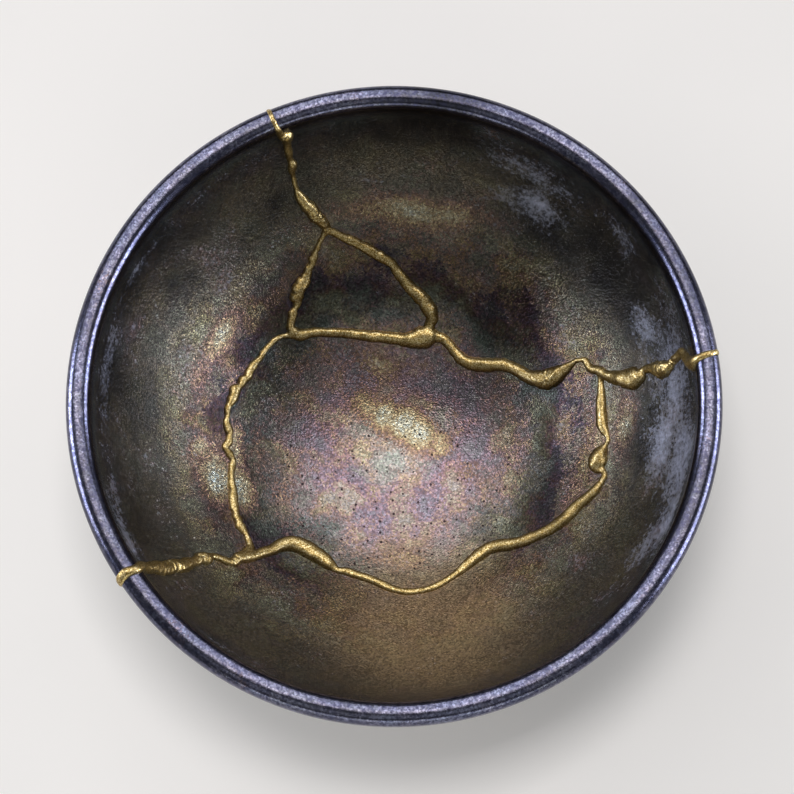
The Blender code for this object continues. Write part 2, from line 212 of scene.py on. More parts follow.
TRIANGLE_FLOOR_SEAM = [
    (35.9, 131.5, 2.7), (35.1, 128.6, 2.3), (33.9, 125.0, 2.1), (32.6, 121.6, 2.1),
    (31.1, 116.9, 2.3), (29.8, 111.9, 2.3), (28.5, 106.8, 2.4), (27.5, 101.1, 2.6),
    (26.9, 95.5, 2.7), (26.5, 90.0, 2.8), (26.3, 84.0, 3.4), (26.7, 79.0, 4.3),
    (27.5, 74.6, 4.4),
]
FLOOR_BACK_SEAM = [
    (29.0, 65.3, 2.2), (28.6, 61.0, 2.3), (27.6, 55.6, 2.5), (27.2, 50.4, 2.9),
    (27.9, 44.6, 3.1), (29.5, 40.8, 3.2), (31.3, 37.6, 3.2), (33.4, 34.8, 2.9),
    (34.9, 31.6, 2.7), (36.0, 28.7, 2.8), (36.9, 25.9, 3.1), (38.2, 23.4, 3.3),
    (40.1, 21.3, 4.2), (42.2, 20.0, 4.8), (44.4, 20.0, 4.6), (46.2, 20.2, 3.3),
    (48.0, 20.6, 2.3), (49.6, 20.8, 1.3), (51.0, 21.1, 1.0), (52.1, 20.7, 1.0),
    (53.2, 20.2, 1.1), (53.6, 17.9, 1.7), (54.3, 16.6, 1.9), (55.8, 15.8, 2.1),
]
RIGHT_SEAM = [
    (57.5, 13.8, 2.5), (59.3, 12.5, 2.9), (60.9, 11.6, 3.4), (62.8, 10.9, 4.4),
    (64.7, 10.3, 5.2), (66.5, 10.1, 4.8), (68.1, 10.3, 3.3), (69.3, 11.0, 1.6),
    (71.2, 10.8, 2.0), (73.4, 10.1, 3.3), (75.4, 9.4, 4.1), (77.3, 9.1, 3.8),
    (79.2, 9.5, 2.4), (81.0, 10.0, 2.0), (83.6, 10.3, 2.0), (85.2, 10.7, 1.8),
    (87.2, 9.0, 2.4), (89.5, 7.6, 2.9),
]
FLOOR_FRONT_SEAM = [
    (55.8, 12.6, 1.2), (55.2, 9.9, 1.9), (54.7, 7.3, 2.4), (54.4, 4.9, 2.5), (54.3, 3.0, 2.7),
    (54.4, 0.9, 2.7), (54.9, -0.8, 2.2), (55.6, -2.2, 1.3), (56.1, -3.6, 0.9), (55.7, -4.9, 0.9),
    (54.8, -6.2, 2.6), (54.1, -7.8, 4.2), (53.7, -9.4, 4.7), (53.7, -10.7, 4.2),
    (54.3, -11.7, 2.6), (56.0, -12.5, 1.1), (56.5, -13.6, 1.3), (56.1, -15.2, 1.5),
    (55.4, -16.7, 2.0), (54.5, -18.7, 2.4), (53.3, -20.4, 2.6), (51.9, -22.6, 2.7),
    (50.1, -27.1, 3.0), (48.8, -29.9, 2.9), (47.5, -33.0, 2.7), (45.6, -36.0, 2.6),
    (44.0, -39.0, 2.7), (42.4, -42.0, 2.7), (40.6, -44.8, 2.9), (38.8, -47.7, 3.0),
    (37.5, -51.5, 3.0), (37.4, -55.7, 3.1), (37.9, -60.5, 2.5), (38.8, -65.8, 1.8),
    (39.6, -70.4, 1.5), (40.4, -75.0, 1.6), (40.8, -81.2, 1.5), (40.6, -86.2, 1.6),
    (39.8, -90.4, 1.6), (38.5, -94.7, 1.9), (37.3, -99.8, 1.9), (36.9, -105.3, 1.9),
    (36.9, -110.1, 1.8), (37.4, -113.1, 1.4), (36.8, -116.3, 2.9), (36.4, -120.1, 3.5),
    (36.3, -124.5, 4.1), (36.7, -129.0, 4.1), (38.2, -133.2, 3.8), (40.5, -135.3, 3.2),
    (43.5, -136.2, 2.6), (46.0, -137.2, 2.5), (48.2, -137.9, 2.4),
]
FLOOR_LEFT_SEAM = [
    (38.8, 136.9, 0.8), (39.7, 140.3, 1.1), (40.0, 145.1, 1.35), (40.2, 149.8, 1.6),
    (40.7, 153.9, 1.7), (40.8, 157.0, 2.0), (41.6, 160.7, 1.9), (42.4, 163.8, 2.2),
    (42.8, 167.4, 2.2), (43.3, 170.6, 1.5), (43.3, 173.7, 1.4), (43.1, 176.5, 1.5),
    (42.4, 179.0, 1.7), (42.5, 181.9, 1.7), (43.5, 184.4, 1.3), (42.5, 186.7, 1.4),
    (41.8, 189.0, 1.3), (42.6, 192.3, 1.4), (43.4, 196.1, 1.6), (44.0, 199.9, 1.9),
    (45.0, 204.0, 1.9), (46.0, 207.5, 2.0), (46.4, 211.2, 1.9), (46.4, 214.6, 1.4),
    (47.3, 218.0, 1.7),
]
LEFT_SEAM = [
    (52.5, 220.0, 2.9), (55.2, 220.1, 2.0), (56.3, 218.9, 1.8), (57.7, 217.15, 1.7),
    (59.0, 215.9, 1.4), (61.1, 216.0, 2.9), (62.9, 215.2, 2.7), (65.3, 215.4, 2.2),
    (67.8, 215.3, 3.1), (70.3, 215.25, 3.3), (72.8, 214.7, 3.3), (76.4, 214.55, 3.3),
    (79.2, 214.3, 3.4), (82.6, 213.75, 3.1), (88.0, 213.6, 2.7),
]


def shifted(stations, turn):
    """The same stations with their azimuths turned by a whole circle."""
    return [(distance, azimuth + turn, width) for distance, azimuth, width in stations]


# Each crack with the azimuths at which it leaves over the rim, if it does.
ROUND_BACK = [*BACK_SEAM, BACK_FORK, *TRIANGLE_RIGHT_SEAM, FLOOR_FORK, *FLOOR_BACK_SEAM, RIGHT_FORK]
CRACKS = [
    ("back_to_right", ROUND_BACK + RIGHT_SEAM, 112.8, 7.3),
    ("front_to_left", [RIGHT_FORK, *FLOOR_FRONT_SEAM, *shifted([FRONT_FORK, *LEFT_SEAM], -360.0)],
     None, 214.1 - 360.0),
    ("left_side", [BACK_FORK, *TRIANGLE_LEFT_SEAM, LEFT_FORK, *FLOOR_LEFT_SEAM, FRONT_FORK],
     None, None),
    ("under_triangle", [LEFT_FORK, *TRIANGLE_FLOOR_SEAM, FLOOR_FORK], None, None),
]

# How ragged the lacquer's edges are along each crack.
RAGGED = {"back_to_right": 0.12, "front_to_left": 0.06, "left_side": 0.34, "under_triangle": 0.08}

# The lacquer where it goes over the lip: run, azimuth and width.
LIP_CROSSINGS = [
    [(88.0, 111.4, 2.0), (91.0, 112.3, 1.3), (94.0, 112.6, 1.3), (97.0, 112.9, 0.8),
     (100.0, 112.9, 0.8), (103.0, 112.8, 0.9), (105.5, 112.2, 1.2), (107.6, 111.4, 1.5),
     (111.0, 111.5, 1.6)],
    [(88.0, 8.4, 2.6), (91.5, 6.9, 3.1), (94.0, 6.8, 2.7), (96.0, 7.1, 1.6), (99.0, 7.5, 1.3),
     (102.0, 7.9, 0.9), (105.0, 7.8, 1.0), (107.3, 7.7, 1.4), (109.6, 9.0, 1.8),
     (111.8, 10.6, 1.8)],
    [(88.0, 213.6, 2.7), (91.0, 213.8, 2.5), (94.0, 213.9, 2.3), (96.5, 214.3, 2.0),
     (99.0, 213.9, 2.1), (101.5, 214.2, 2.0), (104.0, 214.2, 1.8), (107.0, 213.9, 1.9),
     (110.0, 213.6, 2.1), (113.0, 213.7, 2.2)],
]

# The knob where the lacquer gathered at the fork on the floor: run, azimuth and width.
KNOB = [
    (26.7, 82.0, 2.6), (26.8, 79.2, 4.2), (27.4, 75.8, 5.5), (28.0, 72.8, 5.3), (28.7, 69.8, 3.8),
    (29.2, 67.0, 1.8),
]

# Drops where the lacquer gathered: distance up the wall, azimuth, width, height.
DROPS = [
    (54.0, 350.4, 4.7, 1.7), (37.6, 133.0, 3.0, 1.3),
    (93.0, 6.8, 2.7, 1.1), (37.0, 25.0, 2.8, 1.3), (46.0, 123.6, 2.4, 1.2), (89.4, 111.2, 2.7, 1.0),
]

# Where the lacquer wrinkled as it dried: distance up the wall, azimuth, reach.
WRINKLES = [
    (65.0, 215.4, 9.0), (76.0, 214.6, 9.0), (86.0, 213.8, 8.0), (75.0, 9.6, 6.0),
    (60.0, 109.6, 5.0), (43.0, 20.0, 4.5), (46.0, 122.0, 4.5), (82.0, 10.0, 4.0),
    (91.0, 112.0, 5.0), (54.0, 220.0, 4.0),
]

SHARD_MIDDLES = {
    "shard_left": (70.0, 165.0),
    "shard_right": (70.0, 60.0),
    "shard_front": (70.0, 290.0),
    "shard_base": (15.0, 270.0),
    "shard_small_triangle": (42.0, 105.0),
}


def smooth_path(stations, step):
    """Stations close together on a smooth curve through the given ones, as an array."""
    marks = np.array(stations, float)
    points = wall_frame(np.minimum(marks[:, 0], MOUTH), marks[:, 1])[0]
    points[:, 2] += np.maximum(marks[:, 0] - MOUTH, 0.0)
    knots = np.concatenate([[0.0], np.cumsum(np.linalg.norm(np.diff(points, axis=0), axis=1))])
    at = np.linspace(0.0, knots[-1], max(round(knots[-1] / step), 2) + 1)
    slopes = np.diff(marks, axis=0) / np.diff(knots)[:, None]
    tangents = np.vstack([slopes[:1], (slopes[1:] + slopes[:-1]) / 2, slopes[-1:]])
    ends = np.zeros((1, 3), bool)
    turning = np.vstack([ends, slopes[1:] * slopes[:-1] <= 0, ends])
    turning[:, :2] = False
    tangents[turning] = 0.0
    span = np.clip(np.searchsorted(knots, at, side="right") - 1, 0, len(knots) - 2)
    length = (knots[span + 1] - knots[span])[:, None]
    part = (at - knots[span])[:, None] / length
    square, cube = part * part, part * part * part
    return (
        marks[span] * (2 * cube - 3 * square + 1)
        + tangents[span] * length * (cube - 2 * square + part)
        + marks[span + 1] * (3 * square - 2 * cube)
        + tangents[span + 1] * length * (cube - square)
    )


def run_of(points):
    """Unit directions along a line of points."""
    ahead = np.gradient(points, axis=0)
    return ahead / np.linalg.norm(ahead, axis=1)[:, None]


def piece_from(name, verts, faces):
    mesh = bpy.data.meshes.new(name)
    mesh.from_pydata([tuple(co) for co in verts], [], faces)
    mesh.validate()
    made = bpy.data.objects.new(name, mesh)
    bpy.context.scene.collection.objects.link(made)
    return made


def tube_faces(rings, corners, first=0):
    """Faces of a closed tube of rings of corners, with both ends capped."""
    faces = []
    for ring in range(rings - 1):
        for corner in range(corners):
            after = (corner + 1) % corners
            a, b = first + ring * corners, first + (ring + 1) * corners
            faces.append((a + corner, b + corner, b + after, a + after))
    faces.append(tuple(first + corner for corner in range(corners)))
    last = first + (rings - 1) * corners
    faces.append(tuple(last + corner for corner in reversed(range(corners))))
    return faces


# The shards.

def thrown_bowl():
    """The whole bowl, turned from its section."""
    rows = turned_section()
    turn = np.radians(np.arange(TURNS) * 360.0 / TURNS)
    rings = rows[1:-1]
    grid = np.empty((len(rings), TURNS, 3))
    grid[:, :, 0] = rings[:, 0:1] * np.cos(turn)
    grid[:, :, 1] = rings[:, 0:1] * np.sin(turn)
    grid[:, :, 2] = rings[:, 1:2]
    verts = np.vstack([grid.reshape(-1, 3), [[0, 0, rows[0][1]], [0, 0, rows[-1][1]]]])
    faces = []
    for ring in range(len(rings) - 1):
        for at in range(TURNS):
            after = (at + 1) % TURNS
            low, high = ring * TURNS, (ring + 1) * TURNS
            faces.append((low + at, high + at, high + after, low + after))
    top, bottom = len(verts) - 2, len(verts) - 1
    last = (len(rings) - 1) * TURNS
    for at in range(TURNS):
        after = (at + 1) % TURNS
        faces.append((top, at, after))
        faces.append((bottom, last + after, last + at))
    return piece_from("thrown_bowl", verts, faces)


def through_wall(path, half_width, half_depth):
    """Corners of a ribbon that stands through the wall along a path, four at each of its points."""
    middle, inward, _ = wall_frame(path[:, 0], path[:, 1])
    across = np.cross(inward, run_of(middle))
    across *= half_width / np.linalg.norm(across, axis=1)[:, None]
    reach = inward * half_depth
    rings = [middle + reach - across, middle + reach + across]
    rings += [middle - reach + across, middle - reach - across]
    return np.stack(rings, axis=1).reshape(-1, 3)


def crack_cutter(name, stations, start_rim, end_rim):
    """A thin ruled cut through the wall along a crack."""
    stations = list(stations)
    if start_rim is not None:
        stations = [(MOUTH + 8.0, start_rim, 1.0), (MOUTH, start_rim, 1.0)] + stations
    if end_rim is not None:
        stations = stations + [(MOUTH, end_rim, 1.0), (MOUTH + 8.0, end_rim, 1.0)]
    path = smooth_path(stations, CUT_STEP)
    if start_rim is None:
        path[0] += (path[0] - path[1]) * 0.3
    if end_rim is None:
        path[-1] += (path[-1] - path[-2]) * 0.3
    verts = through_wall(path, CRACK_WIDTH / 2, CUT_REACH)
    return piece_from(name, verts, tube_faces(len(path), 4))


def applied(piece):
    """Gives the piece its modifiers' result as its own mesh."""
    bpy.context.view_layer.update()
    graph = bpy.context.evaluated_depsgraph_get()
    mesh = bpy.data.meshes.new_from_object(piece.evaluated_get(graph))
    piece.modifiers.clear()
    piece.data = mesh
    return piece


def remove(piece):
    bpy.data.objects.remove(piece)


def face_islands(shape):
    """The separate bodies of a mesh, as lists of faces."""
    waiting = set(shape.faces)
    found = []
    while waiting:
        island = [waiting.pop()]
        for face in island:
            for edge in face.edges:
                for other in edge.link_faces:
                    if other in waiting:
                        waiting.discard(other)
                        island.append(other)
        found.append(island)
    return found


def section_runs(radius, height):
    """How far along the bowl's skin the points of this radius and height lie."""
    rows = turned_section()
    tree = KDTree(len(rows))
    for at, (row_radius, row_height, _) in enumerate(rows):
        tree.insert((row_radius, row_height, 0.0), at)
    tree.balance()
    runs = np.empty(len(radius))
    for at, (r, h) in enumerate(zip(radius, height)):
        spot, nearest, _ = tree.find((r, h, 0.0))
        step = rows[min(nearest + 1, len(rows) - 1)] - rows[max(nearest - 1, 0)]
        length = max(math.hypot(step[0], step[1]), 1e-6)
        along = ((r - spot[0]) * step[0] + (h - spot[1]) * step[1]) / length
        runs[at] = rows[nearest][2] + along
    return runs


def patches(verts, runs, blooms):
    """How strongly each point lies in one of these patches of the glaze, from 0 to 1."""
    most = np.zeros(len(runs))
    for run, azimuth, up, round_about, strength in blooms:
        middle, _, sideways, upward = skin_spot(run, azimuth)
        offset = verts - middle
        away = (offset @ upward / up) ** 2 + (offset @ sideways / round_about) ** 2
        same_side = np.abs(runs - run) < 40.0
        most = np.maximum(most, strength * np.exp(-away * 1.4) * same_side)
    return most


def corners_of(mesh):
    corners = np.empty(len(mesh.vertices) * 3)
    mesh.vertices.foreach_get("co", corners)
    return corners.reshape(-1, 3)


def store(mesh, name, values):
    stored = mesh.attributes.new(name, "FLOAT", "POINT")
    stored.data.foreach_set("value", values.astype(np.float32))


def paint_run(mesh):
    """Stores what the glaze follows at each vertex: its run along the skin, in millimetres, and how
    strongly it lies in the glaze's patches, some of which are painted highlights and reflections."""
    verts = corners_of(mesh)
    runs = section_runs(np.hypot(verts[:, 0], verts[:, 1]), verts[:, 2])
    store(mesh, "glaze_run", runs)
    store(mesh, "matt_bloom", patches(verts, runs, MATT_BLOOMS))
    store(mesh, "film_and_painted_sheen", patches(verts, runs, FILM_AND_PAINTED_SHEEN))
    store(mesh, "thin_film", patches(verts, runs, THIN_FILM))


def in_metres(mesh):
    mesh.vertices.foreach_set("co", (corners_of(mesh) * MM).ravel())
    mesh.update()


def broken_shards(glaze, clay):
    """Breaks the thrown bowl along the cracks. Broken edges and the wiped foot show bare clay."""
    bowl = thrown_bowl()
    bowl.data.materials.append(glaze)
    bowl.data.materials.append(clay)
    for polygon in bowl.data.polygons:
        heights = [bowl.data.vertices[at].co.z for at in polygon.vertices]
        polygon.material_index = int(max(heights) < BARE_CLAY_HEIGHT)
    cutters = []
    for name, stations, start_rim, end_rim in CRACKS:
        cutter = crack_cutter(name + "_crack", stations, start_rim, end_rim)
        cutter.data.materials.append(clay)
        cutters.append(cutter)
        cut = bowl.modifiers.new(name, "BOOLEAN")
        cut.operation = "DIFFERENCE"
        cut.solver = "EXACT"
        cut.material_mode = "TRANSFER"
        cut.object = cutter
    applied(bowl)
    whole = bmesh.new()
    whole.from_mesh(bowl.data)
    whole.faces.ensure_lookup_table()
    islands = face_islands(whole)
    shards = []
    for name, (distance, azimuth) in SHARD_MIDDLES.items():
        middle = Vector(wall_frame(np.array([distance]), np.array([azimuth]))[0][0])
        island = min(islands, key=lambda faces: min((face.verts[0].co - middle).length
                                                    for face in faces))
        islands.remove(island)
        kept = {face.index for face in island}
        shape = whole.copy()
        shape.faces.ensure_lookup_table()
        extra = [face for face in shape.faces if face.index not in kept]
        bmesh.ops.delete(shape, geom=extra, context="FACES")
        # A corner with only two edges lies idle on a straight edge, where the cuts left it.
        idle_corners = [vert for vert in shape.verts if len(vert.link_edges) == 2]
        bmesh.ops.dissolve_verts(shape, verts=idle_corners)
        mesh = bowl.data.copy()
        mesh.name = name
        shape.to_mesh(mesh)
        shape.free()
        shard = bpy.data.objects.new(name + "_glazed", mesh)
        bpy.context.scene.collection.objects.link(shard)
        mesh.shade_smooth()
        mesh.set_sharp_from_angle(angle=math.radians(40))
        paint_run(mesh)
        in_metres(mesh)
        shards.append((name, shard))
    whole.free()
    for helper in cutters + [bowl]:
        remove(helper)
    return shards


# The lacquer.

# How a bead is made, in millimetres where it is a length.
BEAD_POINTS = 11  # across its crown
BEAD_RISE = 0.44  # height for each millimetre of width, over the least height
LEAST_BEAD_HEIGHT = 0.12
MOST_BEAD_HEIGHT = 1.8
BEAD_SEAT = 0.55  # how far its underside sinks below the skin, out of sight
BEAD_LEAN = 0.3  # how much its crown leans to one side or the other
LOW_OVER_LIP = 0.55  # the share of its height left where it turns down over the lip
SLOW_LUMPS = 0.07  # height of the slow lumps that every bead has
QUICK_LUMPS = 0.02
FOLD_APART = 1.7  # distance between the folds in a wrinkled place
FOLD_HEIGHT = 0.3


def bead(verts, faces, path, seed, ragged=0.08):
    """A bead of lacquer on the skin along a path of run, azimuth and width, with ragged edges."""
    points, normals = skin_frame(path[:, 0], path[:, 1])
    ahead = run_of(points)
    across = np.cross(normals, ahead)
    across /= np.linalg.norm(across, axis=1)[:, None]
    spread = np.linspace(-1.0, 1.0, BEAD_POINTS)
    arch = (1 - np.abs(spread) ** 2.5) ** 0.6
    first = len(verts)
    for at in range(len(path)):
        spot = Vector(points[at])
        half = path[at, 2] / 2 + MELT
        left = half * (1 + ragged * 1.6 * noise.noise(spot * 0.8 + Vector((seed, 0, 0))))
        right = half * (1 + ragged * 1.6 * noise.noise(spot * 0.8 + Vector((0, seed, 9))))
        height = min(path[at, 2] * BEAD_RISE + LEAST_BEAD_HEIGHT, MOST_BEAD_HEIGHT)
        if MOUTH + LIP_RUN * 0.6 < path[at, 0] < MOUTH + LIP_RUN + 4:
            height *= LOW_OVER_LIP
        lean = BEAD_LEAN * noise.noise(spot * 0.35 + Vector((seed, seed, 3)))
        for side, tall in zip(spread, arch):
            reach = side * (left if side < 0 else right)
            crown = tall * height * (1 + lean * side)
            verts.append(points[at] + across[at] * reach + normals[at] * crown)
        verts.append(points[at] + across[at] * right * 0.8 - normals[at] * BEAD_SEAT)
        verts.append(points[at] - across[at] * left * 0.8 - normals[at] * BEAD_SEAT)
    faces.extend(tube_faces(len(path), len(spread) + 2, first))


def drop(verts, faces, distance, azimuth, width, height):
    """A drop that sits on the skin: a dome of rings, closed below."""
    point, normal, _, _ = skin_spot(distance, azimuth)
    side = np.cross(normal, [0.0, 0.0, 1.0])
    side /= np.linalg.norm(side)
    other = np.cross(normal, side)
    first = len(verts)
    corners, levels = 20, 8
    for level in range(levels + 1):
        angle = math.pi * (level + 0.5) / (levels + 1)
        reach = width / 2 * math.sin(angle)
        lift = height * math.cos(angle) if angle < math.pi / 2 else 0.5 * math.cos(angle)
        for corner in range(corners):
            turn = 2 * math.pi * corner / corners
            offset = side * math.cos(turn) + other * math.sin(turn)
            verts.append(point + offset * reach + normal * lift)
    faces.extend(tube_faces(levels + 1, corners, first))


def outside_path(stations):
    """The same crack seen from outside, with the thinner line of lacquer that shows there."""
    path = np.array(stations, float)
    path[:, 0] = 2 * MOUTH + LIP_RUN - path[:, 0]
    path[:, 2] = np.minimum(path[:, 2] * 0.5 + 0.9, 2.2)
    return path


def wrinkled(point, places):
    """How wrinkled the lacquer is at a point, from 0 to 1, and which way its folds follow on."""
    folds = [(max(0.0, 1 - (point - place).length / reach), at)
             for at, (place, reach, _) in enumerate(places)]
    most, at = max(folds)
    return most, places[at][2]


def lacquer_fins(verts, faces):
    """The thin walls of lacquer that fill the cracks from skin to skin."""
    for _, stations, start_rim, end_rim in CRACKS:
        stations = list(stations)
        if start_rim is not None:
            stations = [(MOUTH, start_rim, 1.0)] + stations
        if end_rim is not None:
            stations = stations + [(MOUTH, end_rim, 1.0)]
        path = smooth_path(stations, CUT_STEP)
        half_depth = (half_thickness(path[:, 0]) - 0.1)[:, None]
        faces.extend(tube_faces(len(path), 4, len(verts)))
        verts.extend(through_wall(path, CRACK_WIDTH / 2 + CRACK_GRIP, half_depth))


def fold_places():
    """Each wrinkled place: its middle, its reach and its direction up the wall."""
    places = []
    for distance, azimuth, reach in WRINKLES:
        point, _, _, upward = skin_spot(distance, azimuth)
        places.append((Vector(point), reach, Vector(upward)))
    return places


def run_together(lacquer):
    """Runs the beads together where they meet, and softens them."""
    melted = lacquer.modifiers.new("run_together", "REMESH")
    melted.mode = "VOXEL"
    melted.voxel_size = LACQUER_VOXEL
    applied(lacquer)
    shape = bmesh.new()
    shape.from_mesh(lacquer.data)
    for _ in range(3):
        bmesh.ops.smooth_vert(shape, verts=shape.verts, factor=0.5,
                              use_axis_x=True, use_axis_y=True, use_axis_z=True)
    shape.normal_update()
    raise_folds(shape)
    shape.to_mesh(lacquer.data)
    shape.free()
    if len(lacquer.data.polygons) * 2 > MOST_LACQUER_FACES:
        thin = lacquer.modifiers.new("fewer_faces", "DECIMATE")
        thin.ratio = MOST_LACQUER_FACES / (len(lacquer.data.polygons) * 2)
        applied(lacquer)


def raise_folds(shape):
    """Gives the lacquer slow lumps everywhere, and folds across the bead in the wrinkled places."""
    places = fold_places()
    offsets = []
    for vert in shape.verts:
        at = vert.co
        folds, upward = wrinkled(at, places)
        lumps = SLOW_LUMPS * noise.noise(at * 0.5) + QUICK_LUMPS * noise.noise(at * 1.3)
        if folds > 0:
            phase = (at.dot(upward) + 2.4 * noise.noise(at * 0.45)) / FOLD_APART
            depth = 0.7 + noise.noise(at * 0.9 + Vector((0, 5, 0)))
            crease = abs(math.sin(math.pi * phase)) * depth
            lumps += folds * (FOLD_HEIGHT * crease - FOLD_HEIGHT / 2)
        offsets.append(vert.normal * lumps)
    for vert, offset in zip(shape.verts, offsets):
        vert.co += offset


def add_fins(lacquer):
    """Adds the lacquer in the cracks to the same mesh."""
    verts, faces = [], []
    lacquer_fins(verts, faces)
    fins = piece_from("lacquer_in_cracks", np.array(verts), faces)
    shape = bmesh.new()
    shape.from_mesh(lacquer.data)
    shape.from_mesh(fins.data)
    shape.to_mesh(lacquer.data)
    shape.free()
    remove(fins)


def laid_lacquer(gold):
    """All the gilded lacquer: beads inside, over the lip and outside, run together at the forks."""
    verts, faces = [], []
    for seed, (name, stations, _, _) in enumerate(CRACKS):
        bead(verts, faces, smooth_path(stations, BEAD_STEP), 3.0 + seed, RAGGED[name])
        bead(verts, faces, smooth_path(outside_path(stations), BEAD_STEP), 11.0 + seed)
    for seed, crossing in enumerate(LIP_CROSSINGS):
        bead(verts, faces, smooth_path(crossing, BEAD_STEP), 20.0 + seed)
    bead(verts, faces, smooth_path(KNOB, BEAD_STEP), 30.0)
    for spot in DROPS:
        drop(verts, faces, *spot)
    lacquer = piece_from("gilded_lacquer", np.array(verts), faces)
    run_together(lacquer)
    add_fins(lacquer)
    lacquer.data.materials.clear()
    lacquer.data.materials.append(gold)
    for polygon in lacquer.data.polygons:
        polygon.material_index = 0
    lacquer.data.shade_smooth()
    in_metres(lacquer.data)
    return lacquer


# Materials.

def linear(hex_colour):
    """An sRGB hex colour as the linear colour that a shader takes."""
    channels = [int(hex_colour[at:at + 2], 16) / 255 for at in (1, 3, 5)]
    return (*[c / 12.92 if c <= 0.04045 else ((c + 0.055) / 1.055) ** 2.4 for c in channels], 1.0)


def add(tree, kind, inputs=None, stops=None, **settings):
    """Adds a node. Its inputs are values, or the nodes that feed them: a socket of one, or the node
    itself for its first output."""
    node = tree.nodes.new("ShaderNode" + kind)
    for name, value in settings.items():
        setattr(node, name, value)
    for name, value in (inputs or {}).items():
        if isinstance(value, bpy.types.Node):
            value = value.outputs[0]
        if isinstance(value, bpy.types.NodeSocket):
            tree.links.new(value, node.inputs[name])
        else:
            node.inputs[name].default_value = value
    if stops is not None:
        while len(node.color_ramp.elements) < len(stops):
            node.color_ramp.elements.new(1.0)
        for element, (place, colour) in zip(node.color_ramp.elements, stops):
            element.position = place
            element.color = linear(colour)
    return node


def new_material(name):
    material = bpy.data.materials.new(name)
    material.use_nodes = True
    return material, material.node_tree, material.node_tree.nodes["Principled BSDF"]


# Patches of the glaze: run and azimuth, reach up the wall and round it in millimetres, strength.
# Matt blooms lie under the lip, and the film is thick or thin in places; some thick patches are
# painted highlights and reflections, the hot spot on the floor and sheen bands on the walls.
MATT_BLOOMS = [
    (80, 8, 9, 16, 1), (83, -12, 8, 20, 1), (74, -6, 8, 10, 0.9), (74, 20, 6, 8, 0.8),
    (72, 57, 7, 10, 0.85), (80, 60, 6, 13, 0.75), (86, 128, 3, 12, 0.35), (84, 38, 4, 10, 0.55),
    (86, 152, 3, 16, 0.6), (84, 174, 4, 18, 0.7), (86, 205, 3, 12, 0.5), (80, 330, 6, 10, 0.65),
    (86, 336, 4, 12, 0.8), (86, 232, 2, 10, 0.6), (128, 30, 14, 26, 0.8), (122, 200, 10, 24, 0.7),
    (130, 280, 12, 22, 0.6), (125, 110, 9, 20, 0.7),
]
# Thicker film, and painted highlights and reflections: the hot spot on the floor and the sheen
# bands on the walls.
FILM_AND_PAINTED_SHEEN = [
    (12, 127, 6, 6, 0.85), (8, 112, 5.5, 5.5, 0.95), (5.5, 68, 6, 6, 1), (7.3, 23, 6, 6, 1),
    (11.7, 2, 5, 5, 0.75), (19, -22, 4, 5, 0.5), (26, 285, 6, 8, 0.2), (59, 86, 6, 26, 0.62),
    (51.5, 151, 4.5, 8, 0.78), (52, 164, 4, 6, 0.5), (44, 162, 3, 5, 0.4), (47.5, 195, 6, 8, 1),
    (42, 200, 5, 8, 0.95), (33, 208, 6, 8, 0.4), (53.5, -3, 2.6, 9, 0.6), (49, -20, 3, 6, 0.4),
    (19, 100, 6, 8, 0.4), (40.5, 182, 3.5, 8, 0.8), (35, 186, 4, 12, 0.42), (61.5, -3, 4, 10, 0.8),
    (50, 186, 5, 5, 0.6), (31, 272, 5, 14, 0.45), (26, 116, 5, 7, 0.35),
]
THIN_FILM = [
    (49, 174, 3.5, 5, 0.3), (45.5, 166, 3.5, 4, 0.2), (49, 6, 4, 6, 0.35), (43, 13, 5, 6, 0.2),
]

# The lustre's colour along the skin. It is a film like oil on water, so it goes round gold, purple
# and pale blue-grey as it thickens: run in millimetres, and colour.
LUSTRE = [
    (0, "#b6bcac"), (8, "#b4ad9b"), (13, "#9c8e91"), (21, "#a29aa0"), (28, "#a59889"),
    (33, "#6b7167"), (38, "#494d43"), (42, "#38302f"), (45, "#463f43"), (48, "#7e725a"),
    (52, "#6f6758"), (58, "#939177"), (65, "#6d6b5f"), (77, "#646152"), (83, "#51504c"),
    (87, "#4b4d4b"), (90, "#5e6764"), (91.6, "#707578"), (93, "#787b94"), (98.5, "#878ba5"),
    (103.2, "#787b94"), (104.6, "#4a4d5c"), (109, "#3b3f4a"), (122, "#3b3835"), (150, "#453e35"),
    (196, "#38322c"),
]
SKIN_LENGTH = 200.0  # from the middle of the floor round to the middle of the foot, nearly


